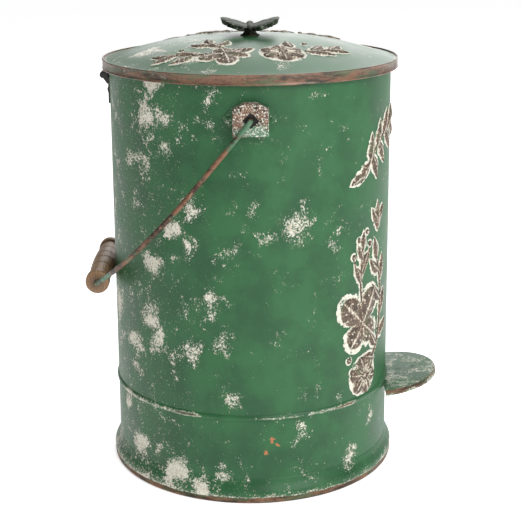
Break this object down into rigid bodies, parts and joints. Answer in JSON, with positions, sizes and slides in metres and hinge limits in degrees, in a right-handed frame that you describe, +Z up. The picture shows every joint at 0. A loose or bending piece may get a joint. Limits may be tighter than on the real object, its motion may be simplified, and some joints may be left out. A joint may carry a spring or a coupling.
{
  "type": "pedal trash can",
  "caption": "Round sheet-metal pedal bin with a domed lid lifted by a foot lever and rod, an inner pail, a flared foot and a wire bail with a turned wooden grip.",
  "frame": {"origin": "centre of the foot ring, on the surface that the can stands on", "axes": "+Z up along the can's axis, -Y towards the pedal, +Y towards the lid hinge, +X and -X towards the bail's ears"},
  "size_m": [0.2966, 0.3324, 0.4201],
  "materials": {
    "green_paint": "distressed deep green paint with pale chips and rubbed edges",
    "worn_foot": "dark paint rubbed through to brown at the foot",
    "worn_copper": "paint rubbed through to a coppery brown",
    "patina": "cast, dark green-bronze patina with pale highlights",
    "black_hinge": "black painted steel",
    "bare_steel": "zinc-plated steel",
    "pail_plastic": "moulded black plastic",
    "bush_plastic": "moulded black plastic",
    "grip_wood": "turned and oiled light wood"
  },
  "bodies": {
    "root": {"body_shell": "green_paint", "foot_ring": "worn_foot", "floor_plate": "bare_steel", "pivot_bracket": "bare_steel", "pivot_bracket_rivets": "bare_steel", "lever_pivot_pin": "bare_steel", "rod_guide": "bush_plastic", "inner_pail": "pail_plastic", "left_ear_backing": "green_paint", "right_ear_backing": "green_paint", "left_bail_ear": "worn_copper", "right_bail_ear": "worn_copper", "ear_rivets": "green_paint", "hinge_body_leaf": "black_hinge", "hinge_body_rivets": "black_hinge", "hinge_pin": "black_hinge"},
    "lid": {"lid_shell": "green_paint", "hinge_lid_leaf": "black_hinge", "hinge_lid_rivets": "black_hinge", "lid_lug": "bare_steel", "butterfly_knob": "patina", "knob_post": "patina", "knob_washer": "bare_steel", "knob_screw": "bare_steel"},
    "pedal": {"pedal_lever": "bare_steel", "pedal_plate": "green_paint", "pedal_rivets": "green_paint"},
    "rod": {"lift_rod": "bare_steel", "rod_clips": "bare_steel"},
    "bail": {"bail_wire": "worn_copper"},
    "grip": {"wooden_grip": "grip_wood"}
  },
  "joints": [
    {"name": "lid_hinge", "type": "hinge", "parent": "root", "child": "lid", "pos_m": [0, 0.135, 0.3693], "axis": [-1, 0, 0], "range_deg": [0, 70]},
    {"name": "pedal_press", "type": "hinge", "parent": "root", "child": "pedal", "pos_m": [0, -0.012, 0.0561], "axis": [1, 0, 0], "range_deg": [0, 8.96]},
    {"name": "rod_slide", "type": "slide", "parent": "root", "child": "rod", "axis": [0, 0, 1], "range_m": [0, 0.02044]},
    {"name": "bail_swing", "type": "hinge", "parent": "root", "child": "bail", "pos_m": [0, 0, 0.3475], "axis": [1, 0, 0], "range_deg": [0, 274]},
    {"name": "grip_spin", "type": "hinge", "parent": "bail", "child": "grip", "pos_m": [0, 0.1416, 0.18461], "axis": [1, 0, 0], "continuous": true}
  ],
  "couplings": [
    {"joint": "pedal_press", "follows": "lid_hinge", "ratio": 0.1279},
    {"joint": "rod_slide", "follows": "lid_hinge", "m_per_rad": 0.016713}
  ]
}
